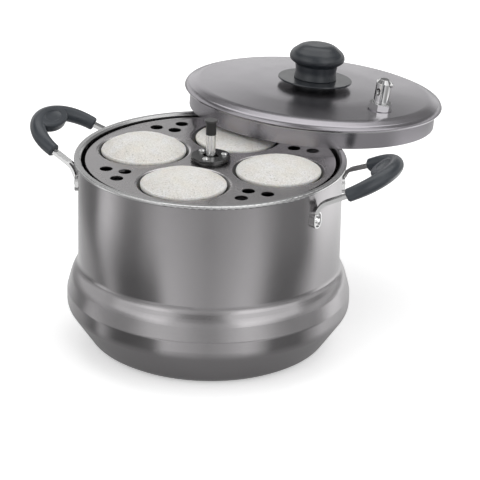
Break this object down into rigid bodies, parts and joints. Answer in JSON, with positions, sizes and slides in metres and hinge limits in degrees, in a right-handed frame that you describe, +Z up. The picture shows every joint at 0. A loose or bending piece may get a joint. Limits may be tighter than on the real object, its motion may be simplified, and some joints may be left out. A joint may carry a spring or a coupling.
{
  "type": "idli steamer",
  "caption": "Bellied steaming pot with looped side handles, a lifting stand of stacked idli plates, idlis in the top plate, and a domed lid with knob and steam vent laid back on the rim.",
  "frame": {"origin": "centre of the pot's round base, on the surface that it stands on", "axes": "+Z up along the pot's axis, +X through the middle of the right-hand cup, about 4 degrees from the middle of the right-hand handle, +Y through the middle of the cup at the back"},
  "size_m": [0.3594, 0.4222, 0.2427],
  "materials": {
    "pot_metal": "satin, faintly brushed round",
    "strap_metal": "polished",
    "rivet_metal": "polished",
    "grip_plastic": "moulded, low gloss",
    "plate_metal": "satin",
    "hub_metal": "satin",
    "rod_metal": "polished",
    "foot_metal": "satin",
    "lid_metal": "polished",
    "knob_plastic": "moulded, low gloss",
    "guard_metal": "dark satin",
    "sleeve_plastic": "moulded",
    "screw_metal": "plain",
    "vent_metal": "chromed",
    "gasket_rubber": "matt",
    "idli": "soft, steamed crumb"
  },
  "bodies": {
    "pot": {"pot_body": "pot_metal", "handle_rivets": "rivet_metal", "handle_frame_right": "strap_metal", "handle_grip_right": "grip_plastic", "handle_frame_left": "strap_metal", "handle_grip_left": "grip_plastic"},
    "stand": {"stand_foot": "foot_metal"},
    "rod": {"lifting_rod": "rod_metal", "rod_sleeve": "sleeve_plastic", "rod_cap": "rod_metal", "rod_pin": "rod_metal"},
    "tier_1": {"plate_1": "plate_metal", "hub_1": "hub_metal", "collar_1": "hub_metal", "hub_rivets_1": "rivet_metal"},
    "tier_2": {"plate_2": "plate_metal", "hub_2": "hub_metal", "collar_2": "hub_metal", "hub_rivets_2": "rivet_metal"},
    "tier_3": {"plate_3": "plate_metal", "hub_3": "hub_metal", "collar_3": "hub_metal", "hub_rivets_3": "rivet_metal"},
    "tier_4": {"plate_4": "plate_metal", "hub_4": "hub_metal", "collar_4": "hub_metal", "hub_rivets_4": "rivet_metal", "idli_1": "idli", "idli_2": "idli", "idli_3": "idli", "idli_4": "idli"},
    "lid": {"lid_shell": "lid_metal", "knob": "knob_plastic", "knob_guard": "guard_metal", "knob_screw": "screw_metal", "knob_washer": "screw_metal", "vent_stem": "vent_metal", "vent_gasket": "gasket_rubber", "vent_nut": "screw_metal"},
    "weight": {"vent_weight": "vent_metal", "vent_pin": "vent_metal"}
  },
  "joints": [
    {"name": "stack_lift", "type": "slide", "parent": "pot", "child": "stand", "axis": [0, 0, 1], "range_m": [0, 0.2]},
    {"name": "rod_turn", "type": "hinge", "parent": "stand", "child": "rod", "pos_m": [0, 0, 0.0336], "axis": [0, 0, 1], "continuous": true},
    {"name": "tier_1_lift", "type": "slide", "parent": "stand", "child": "tier_1", "axis": [0, 0, 1], "range_m": [0, 0.183]},
    {"name": "tier_2_lift", "type": "slide", "parent": "tier_1", "child": "tier_2", "axis": [0, 0, 1], "range_m": [0, 0.147]},
    {"name": "tier_3_lift", "type": "slide", "parent": "tier_2", "child": "tier_3", "axis": [0, 0, 1], "range_m": [0, 0.111]},
    {"name": "tier_4_lift", "type": "slide", "parent": "tier_3", "child": "tier_4", "axis": [0, 0, 1], "range_m": [0, 0.075]},
    {"name": "lid_lift", "type": "slide", "parent": "tier_4", "child": "lid", "axis": [0, 0, 1], "range_m": [0, 0.2]},
    {"name": "weight_lift", "type": "slide", "parent": "lid", "child": "weight", "axis": [0.1187, 0.0545, 0.9914], "range_m": [0, 0.03]}
  ]
}
